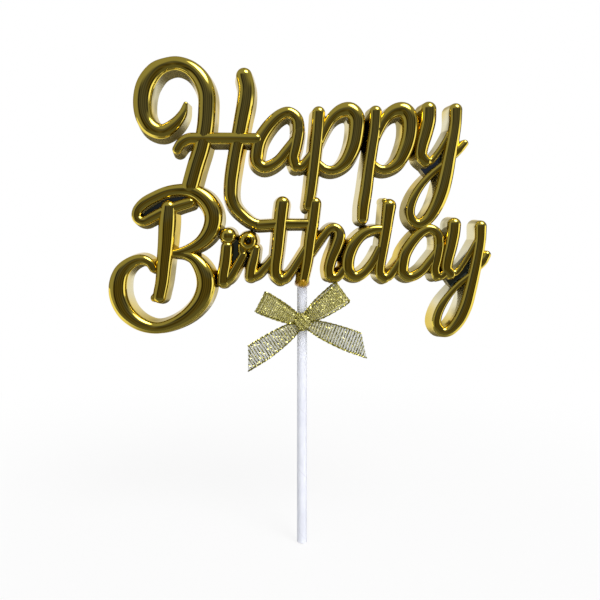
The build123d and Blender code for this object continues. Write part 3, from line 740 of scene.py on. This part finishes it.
def strand(shape, spots, broad, thin, twist, material, closed=False):
    """Four-sided flat thread through (point, normal) pairs, which twists on its way"""
    rings = []
    count = len(spots)
    for i, (point, normal) in enumerate(spots):
        after = spots[(i + 1) % count if closed else min(i + 1, count - 1)][0]
        before = spots[i - 1 if closed else max(i - 1, 0)][0]
        side = (after - before).cross(normal).normalized()
        turn = twist * i
        wide = side * (broad * math.cos(turn)) + normal * (broad * math.sin(turn))
        deep = normal * (thin * math.cos(turn)) - side * (thin * math.sin(turn))
        rings.append([shape.verts.new(point + arm) for arm in (wide, deep, -wide, -deep)])
    pairs = list(zip(rings, rings[1:]))
    if closed:
        pairs.append((rings[-1], rings[0]))
    faces = [shape.faces.new((here[j - 1], here[j], there[j], there[j - 1]))
             for here, there in pairs for j in range(4)]
    if not closed:
        faces.append(shape.faces.new(rings[0]))
        faces.append(shape.faces.new(rings[-1]))
    for face in faces:
        face.material_index = material


def weave(name, surface, rib_pitch, rib_sides, rib_twist, closed=False):
    """A stretch of ribbon: gold ribs across it, fine threads both ways, and a cord along each edge"""
    spot, limit = surface
    shape = bmesh.new()
    ends = (lambda side: limit) if closed else limit
    last = max(ends(-1), ends(1))

    def lifted(place, side, height):
        normal = surface_normal(spot, place, side)
        return spot(place, side) + normal * height, normal

    def across(place, sides, broad, thin, twist, lift, material):
        path = [lifted(place, side, lift * math.cos(WARPS * math.pi * side / 2)) for side in sides
                if place <= ends(side)]
        if len(path) > 2:
            strand(shape, path, broad, thin, twist, material)

    def lengthwise(side, broad, thin, twist, wave, material):
        steps = max(8, round(ends(side) * RIBBON_STEP / THREAD_STEP))
        stop = steps if closed else steps + 1
        path = [lifted(ends(side) * i / steps, side, wave * (-1) ** i) for i in range(stop)]
        strand(shape, path, broad, thin, twist, material, closed)

    pitch = rib_pitch / RIBBON_STEP
    sides = [-1 + 2 * i / RIB_STEPS for i in range(RIB_STEPS + 1)]
    ribs = int(last / pitch)
    for rib in range(ribs + 1):
        place = rib * pitch + 0.3
        if closed and place >= last:
            continue
        lift = RIB_LIFT * (-1) ** rib
        across(place, sides, *rib_sides, rib_twist + 0.13 * (rib % 5), lift, GOLD_THREAD)
        for share in (1 / 3, 2 / 3):
            across(place + share * pitch, sides, FINE_THREAD, FINE_THREAD, 0.0, -lift, FINE_SILK)
    for i in range(1, WARPS):
        lengthwise(-1 + 2 * i / WARPS, FINE_THREAD, FINE_THREAD, 0.7, THREAD_LIFT, FINE_SILK)
    for side in (-1, 1):
        lengthwise(side, CORD_RADIUS, CORD_RADIUS * 0.75, 0.8, RIB_LIFT, GOLD_THREAD)
    film(shape, spot, ends, closed)
    return from_bmesh(name, shape)


def film(shape, spot, ends, closed):
    """Sheer ground of the ribbon, with a map that runs along and across it"""
    layer = shape.loops.layers.uv.new("along")
    columns = FILM_COLUMNS
    rows = round(ends(0) * RIBBON_STEP / FILM_STEP)
    grid = []
    for row in range(rows + 1):
        share = row / rows
        line = []
        for column in range(columns + 1):
            side = -1 + 2 * column / columns
            is_seam = closed and row == rows
            corner = None if is_seam else shape.verts.new(spot(share * ends(side), side))
            line.append((corner, share, column / columns))
        grid.append(line)
    if closed:
        grid[-1] = [(first[0], *last[1:]) for first, last in zip(grid[0], grid[-1])]
    faces = []
    for here, there in zip(grid, grid[1:]):
        for j in range(columns):
            corners = (here[j], here[j + 1], there[j + 1], there[j])
            face = shape.faces.new([corner[0] for corner in corners])
            faces.append(face)
            face.material_index = GAUZE
            face.smooth = True
            for loop, corner in zip(face.loops, corners):
                loop[layer].uv = corner[1:]
    bmesh.ops.recalc_face_normals(shape, faces=faces)
    bmesh.ops.solidify(shape, geom=faces, thickness=FILM_THICKNESS)


# Materials


def new_material(name):
    material = bpy.data.materials.new(name)
    material.use_nodes = True
    return material, material.node_tree, material.node_tree.nodes["Principled BSDF"]


def add_node(tree, kind, inputs=None, **settings):
    """A shader node with its settings, and with values or links on its inputs"""
    node = tree.nodes.new("ShaderNode" + kind)
    for name, value in settings.items():
        setattr(node, name, value)
    for name, value in (inputs or {}).items():
        if isinstance(value, bpy.types.NodeSocket):
            tree.links.new(value, node.inputs[name])
        else:
            node.inputs[name].default_value = value
    return node


def blend(tree, share, first, second):
    """Colour between two colours"""
    values = {"Factor": share, "A": first, "B": second}
    return add_node(tree, "Mix", values, data_type="RGBA").outputs["Result"]


def steady(tree, value, start, stop, low=0.0, high=1.0):
    """Smooth rise from low to high while a value goes from start to stop"""
    values = {"Value": value, "From Min": start, "From Max": stop, "To Min": low, "To Max": high}
    return add_node(tree, "MapRange", values, interpolation_type="SMOOTHSTEP").outputs["Result"]


def compute(tree, operation, *values):
    """Result of one operation on numbers or sockets"""
    return add_node(tree, "Math", dict(enumerate(values)), operation=operation).outputs[0]


def ramp(tree, value, stops):
    """Colours that follow a value: stops of (place, colour)"""
    node = add_node(tree, "ValToRGB", {"Fac": value})
    elements = node.color_ramp.elements
    for element, (place, colour) in zip(elements, (stops[0], stops[-1])):
        element.position = place
        element.color = colour
    for place, colour in stops[1:-1]:
        elements.new(place).color = colour
    return node.outputs["Color"]


def noise(tree, vector, scale, detail=2.0):
    """Cloudy value; scale counts the clouds in a metre"""
    return add_node(tree, "TexNoise", {"Vector": vector, "Scale": scale, "Detail": detail}).outputs["Fac"]


def mottled(tree, vector, scale, dark, light, detail=2.0):
    """Colour that wanders between two others"""
    return blend(tree, steady(tree, noise(tree, vector, scale, detail), *MOTTLE), dark, light)


def bump(tree, shader, height, strength, distance):
    values = {"Height": height, "Strength": strength, "Distance": distance}
    tree.links.new(add_node(tree, "Bump", values).outputs["Normal"], shader.inputs["Normal"])


def grey(level):
    return (level, level, level, 1)


def gold_plating():
    """Gold plating: bright and deep on the fronts, with painted reflection making the walls paler, painted
    shade below and in recesses, and dull behind
    """
    material, tree, shader = new_material("gold_plating")
    place = add_node(tree, "TexCoord")
    facing = add_node(tree, "SeparateXYZ", {0: place.outputs["Normal"]})
    forward = compute(tree, "ABSOLUTE", facing.outputs["Y"])
    wall = steady(tree, forward, 0.26, 0.14)
    # Painted shade: walls that face down are darkened in colour
    under = steady(tree, facing.outputs["Z"], -0.25, -0.8)
    # Painted reflection: the walls are paler, cream and gold in random patches, with dark patches that stand
    # in for neighbouring letters mirrored in them
    painted_reflection_patches = steady(tree, noise(tree, place.outputs["Object"], 34), 0.4, 0.62)
    side = blend(tree, painted_reflection_patches, WALL_PAINTED_CREAM, WALL_PAINTED_GOLD)
    shade = steady(tree, noise(tree, place.outputs["Object"], 75), 0.45, 0.62, 0.0, 0.8)
    side = blend(tree, shade, side, WALL_PAINTED_DARK)
    side = blend(tree, under, side, UNDERSIDE_PAINTED_SHADE)
    colour = blend(tree, wall, DEEP_GOLD, side)
    # Painted shade: faces that look forward but lie well behind the front, such as the webs, are coloured
    # dark blue
    height = add_node(tree, "SeparateXYZ", {0: place.outputs["Object"]}).outputs["Y"]
    deep = steady(tree, height, FRONT + 0.8 * MM, FRONT + 1.3 * MM)
    flat = steady(tree, facing.outputs["Y"], -0.9, -0.97)
    colour = blend(tree, compute(tree, "MULTIPLY", deep, flat), colour, RECESS_PAINTED_SHADE)
    behind = steady(tree, facing.outputs["Y"], 0.9, 0.97)
    dull_gold = mottled(tree, place.outputs["Object"], 120, BACK_DARK, BACK_LIGHT, 4)
    colour = blend(tree, behind, colour, dull_gold)
    tree.links.new(colour, shader.inputs["Base Color"])
    rough = steady(tree, wall, 0, 1, 0.06, 0.13)
    rough = compute(tree, "MULTIPLY_ADD", behind, 0.25, rough)
    tree.links.new(rough, shader.inputs["Roughness"])
    # Painted shade: walls that face down also lose their metal, so they stay dark
    painted_shade_dull = compute(tree, "MULTIPLY", wall, under)
    tree.links.new(steady(tree, painted_shade_dull, 0, 1, 1.0, 0.0), shader.inputs["Metallic"])
    shader.inputs["Specular IOR Level"].default_value = 0.0
    shader.inputs["Specular Tint"].default_value = GOLD_GLOSS
    bump(tree, shader, noise(tree, place.outputs["Object"], 220, 1.5), 0.12, 0.2 * MM)
    return material


def rolled_paper():
    """White paper rolled at a slant: a fine seam that winds up the stick, and lengthwise fibres"""
    material, tree, shader = new_material("rolled_paper")
    place = add_node(tree, "TexCoord").outputs["Object"]
    split = add_node(tree, "SeparateXYZ", {0: place})
    turn = compute(tree, "ARCTAN2", split.outputs["Y"], split.outputs["X"])
    round_share = compute(tree, "DIVIDE", turn, math.tau)
    winds = compute(tree, "DIVIDE", split.outputs["Z"], SEAM_PITCH)
    winding = compute(tree, "ADD", winds, round_share)
    seam = steady(tree, compute(tree, "PINGPONG", winding, 1.0), 0.02, 0.0)
    fibres = add_node(tree, "Mapping", {"Vector": place, "Scale": (1, 1, 0.08)}).outputs[0]
    grain = noise(tree, fibres, 3500, 3)
    paper = mottled(tree, place, 150, PAPER_DARK, PAPER_LIGHT)
    tree.links.new(blend(tree, seam, paper, PAPER_SEAM), shader.inputs["Base Color"])
    shader.inputs["Roughness"].default_value = 0.75
    bump(tree, shader, compute(tree, "SUBTRACT", grain, seam), 0.25, 0.06 * MM)
    return material


def amber_glue():
    """Clear amber glue with the gold shining through, darker and lighter in random patches"""
    material, tree, shader = new_material("amber_glue")
    place = add_node(tree, "TexCoord").outputs["Object"]
    colour = mottled(tree, place, 500, AMBER_DARK, AMBER_LIGHT)
    tree.links.new(colour, shader.inputs["Base Color"])
    shader.inputs["Metallic"].default_value = 0.45
    shader.inputs["Roughness"].default_value = 0.22
    shader.inputs["Coat Weight"].default_value = 0.2
    shader.inputs["Coat Roughness"].default_value = 0.08
    bump(tree, shader, noise(tree, place, 900), 0.3, 0.1 * MM)
    return material


def gold_thread():
    """Flat metal thread, which glints from twist to twist"""
    material, tree, shader = new_material("gold_thread")
    place = add_node(tree, "TexCoord").outputs["Object"]
    colour = mottled(tree, place, 1400, THREAD_DARK, THREAD_LIGHT)
    tree.links.new(colour, shader.inputs["Base Color"])
    shader.inputs["Metallic"].default_value = 1.0
    shader.inputs["Roughness"].default_value = 0.2
    bump(tree, shader, noise(tree, place, 5000), 0.4, 0.03 * MM)
    return material


def silk_thread(name, dark, light):
    """Thin silky thread between the gold ones"""
    material, tree, shader = new_material(name)
    place = add_node(tree, "TexCoord").outputs["Object"]
    colour = mottled(tree, place, 900, dark, light)
    tree.links.new(colour, shader.inputs["Base Color"])
    shader.inputs["Roughness"].default_value = 0.4
    shader.inputs["Sheen Weight"].default_value = 0.3
    return material


def sheer_gauze(name, near_knot, at_end, fading):
    """Sheer gold ground: its cover at both ends, and how far it fades to pale silk away from the knot"""
    material, tree, shader = new_material(name)
    place = add_node(tree, "TexCoord")
    split = add_node(tree, "SeparateXYZ", {0: place.outputs["UV"]})
    colour = mottled(tree, place.outputs["Object"], 1100, GAUZE_DARK, GAUZE_LIGHT)
    faded = steady(tree, split.outputs["X"], 0.1, 0.75, 0.0, fading)
    colour = blend(tree, faded, colour, GAUZE_FADED)
    tree.links.new(colour, shader.inputs["Base Color"])
    shader.inputs["Metallic"].default_value = 0.3
    shader.inputs["Roughness"].default_value = 0.35
    cover = steady(tree, split.outputs["X"], 0.1, 0.75, near_knot, at_end)
    tree.links.new(cover, shader.inputs["Alpha"])
    bump(tree, shader, noise(tree, place.outputs["Object"], 2600), 0.6, 0.08 * MM)
    return material


# All the pieces

gold = gold_plating()
for order, name in enumerate([*LETTERS, "lower_a"]):
    finish_piece(letter(name, order * BACK_STEP), "gold_plating", name, gold)
finish_piece(paper_stick(), "paper", "stick", rolled_paper())
finish_piece(amber_bead(), "amber_glue", "glue", amber_glue())

gilt = gold_thread()
pale_silk = silk_thread("pale_silk", *PALE_SILK)
gold_silk = silk_thread("gold_silk", *GOLD_SILK)
tail_cloth = (gilt, pale_silk, sheer_gauze("tail_gauze", 0.5, 0.35, 0.85))
loop_cloth = (gilt, gold_silk, sheer_gauze("loop_gauze", 0.35, 0.35, 0.0))
tail_weave = (TAIL_PITCH, TAIL_RIB, TAIL_TWIST)
loop_weave = (LOOP_PITCH, LOOP_RIB, LOOP_TWIST)
knot_weave = (KNOT_PITCH, LOOP_RIB, LOOP_TWIST, True)
bow = [
    ("tail_left", tail_surface(LEFT_TAIL_TURN, TAIL_CUT), tail_weave, tail_cloth),
    ("tail_right", tail_surface(RIGHT_TAIL_TURN, -TAIL_CUT), tail_weave, tail_cloth),
    ("loop_left", loop_surface(LEFT_LOOP_TURN, LEFT_LOOP_REACH), loop_weave, loop_cloth),
    ("loop_right", loop_surface(RIGHT_LOOP_TURN, RIGHT_LOOP_REACH), loop_weave, loop_cloth),
    ("knot", knot_surface(), knot_weave, loop_cloth),
    ("wrap", wrap_surface(), knot_weave, loop_cloth),
]
for name, surface, threads, cloth in bow:
    finish_piece(weave(name, surface, *threads), "ribbon", "bow_" + name, *cloth)


# Stage, light and camera


def pale_floor():
    """Floor that shows white with the object's shadow on it; its front is left out of the gloss"""
    deselect()
    bpy.ops.mesh.primitive_plane_add(size=1)
    floor = bpy.context.object
    floor.name = "floor"
    floor.scale = (FLOOR_WIDTH, FLOOR_BACK - FLOOR_FRONT, 1)
    floor.location = (0, (FLOOR_FRONT + FLOOR_BACK) / 2, -FLOOR_GAP)
    bpy.ops.object.transform_apply(location=True, rotation=False, scale=True)
    material, tree, shader = new_material("floor")
    shader.inputs["Base Color"].default_value = grey(FLOOR_GREY)
    shader.inputs["Roughness"].default_value = FLOOR_ROUGHNESS
    path = add_node(tree, "LightPath")
    direct = path.outputs["Is Camera Ray"]
    glossy = path.outputs["Is Glossy Ray"]
    through = path.outputs["Is Transmission Ray"]
    seen = compute(tree, "MAXIMUM", direct, compute(tree, "MAXIMUM", glossy, through))
    place = add_node(tree, "TexCoord").outputs["Object"]
    away = add_node(tree, "VectorMath", {0: place}, operation="LENGTH").outputs["Value"]
    white = steady(tree, away, *FLOOR_WHITE)
    share = compute(tree, "MULTIPLY", seen, white)
    near = blend(tree, steady(tree, away, *FLOOR_DIM), grey(TABLE), grey(1))
    shown = blend(tree, direct, near, grey(1))
    glow = add_node(tree, "Emission", {"Color": shown, "Strength": 1.0})
    mix = add_node(tree, "MixShader", {0: share, 1: shader.outputs[0], 2: glow.outputs[0]})
    before = steady(tree, add_node(tree, "SeparateXYZ", {0: place}).outputs["Y"], *FLOOR_CLEAR)
    clear = compute(tree, "MULTIPLY", glossy, before)
    gap = add_node(tree, "BsdfTransparent")
    mix = add_node(tree, "MixShader", {0: clear, 1: mix.outputs[0], 2: gap.outputs[0]})
    tree.links.new(mix.outputs[0], tree.nodes["Material Output"].inputs["Surface"])
    floor.data.materials.append(material)


def studio():
    """White backdrop behind the object, and before it a dim room with light to the right and above"""
    world = bpy.data.worlds.new("studio")
    bpy.context.scene.world = world
    world.use_nodes = True
    tree = world.node_tree
    direction = add_node(tree, "TexCoord").outputs["Generated"]
    split = add_node(tree, "SeparateXYZ", {0: direction})
    back = compute(tree, "MULTIPLY", split.outputs["Y"], -1.0)
    turn = compute(tree, "ARCTAN2", split.outputs["X"], back)
    values = {"Value": turn, "From Min": -math.pi, "From Max": math.pi}
    share = add_node(tree, "MapRange", values).outputs["Result"]
    stops = [((degrees + 180) / 360, grey(level)) for degrees, level in ROOM]
    room = ramp(tree, share, stops)
    height = split.outputs["Z"]
    tint = blend(tree, steady(tree, height, *TINT_RISE), LOW_TINT, HIGH_TINT)
    tint = blend(tree, steady(tree, room, *TINT_FADE), grey(1), tint)
    room = add_node(tree, "VectorMath", {0: room, 1: tint}, operation="MULTIPLY").outputs[0]
    rise, top, fall, end = [math.radians(degrees) for degrees in STRIP]
    strip = steady(tree, turn, rise, top, 0.0, STRIP_LEVEL)
    for limit in (steady(tree, turn, end, fall), steady(tree, height, *STRIP_TOP)):
        strip = compute(tree, "MULTIPLY", strip, limit)
    room = add_node(tree, "VectorMath", {0: room, 1: strip}, operation="ADD").outputs[0]
    room = blend(tree, steady(tree, height, *CEILING_RISE), room, grey(CEILING))
    room = blend(tree, steady(tree, height, *TABLE_FALL), room, grey(TABLE))
    values = {0: direction, 1: Vector(WINDOW).normalized()}
    aim = add_node(tree, "VectorMath", values, operation="DOT_PRODUCT").outputs["Value"]
    window = steady(tree, aim, math.cos(WINDOW_EDGE), math.cos(WINDOW_CORE), 0.0, WINDOW_LEVEL)
    path = add_node(tree, "LightPath")
    lit = add_node(tree, "VectorMath", {0: room, 1: window}, operation="ADD").outputs[0]
    seen = blend(tree, path.outputs["Is Camera Ray"], lit, grey(1))
    tree.links.new(seen, tree.nodes["Background"].inputs["Color"])


def lamp(name, place, size, power):
    """Soft lamp that lights the surfaces and doesn't show in their gloss"""
    light = bpy.data.lights.new(name, "AREA")
    light.size = size
    light.energy = power
    stand = bpy.data.objects.new(name, light)
    bpy.context.collection.objects.link(stand)
    stand.location = place
    stand.visible_glossy = False
    aim = Vector((0, 0, BASE_LINE)) - stand.location
    stand.rotation_euler = aim.to_track_quat("-Z", "Y").to_euler()


def view_camera():
    """Camera square to the lettering, a little left of the stick and above the lower line's base"""
    data = bpy.data.cameras.new("camera")
    data.sensor_width = SENSOR
    data.lens = SENSOR * PICTURE_REACH / PICTURE_WIDTH
    data.shift_x, data.shift_y = CAMERA_SHIFT
    data.clip_start = CAMERA_NEAR
    camera = bpy.data.objects.new("camera", data)
    camera.location = CAMERA_PLACE
    camera.rotation_euler = (math.pi / 2, 0, 0)
    bpy.context.collection.objects.link(camera)
    bpy.context.scene.camera = camera


pale_floor()
studio()
for name, place, size, power in LAMPS:
    lamp(name, place, size, power)
view_camera()
bpy.context.scene.view_settings.view_transform = "Standard"
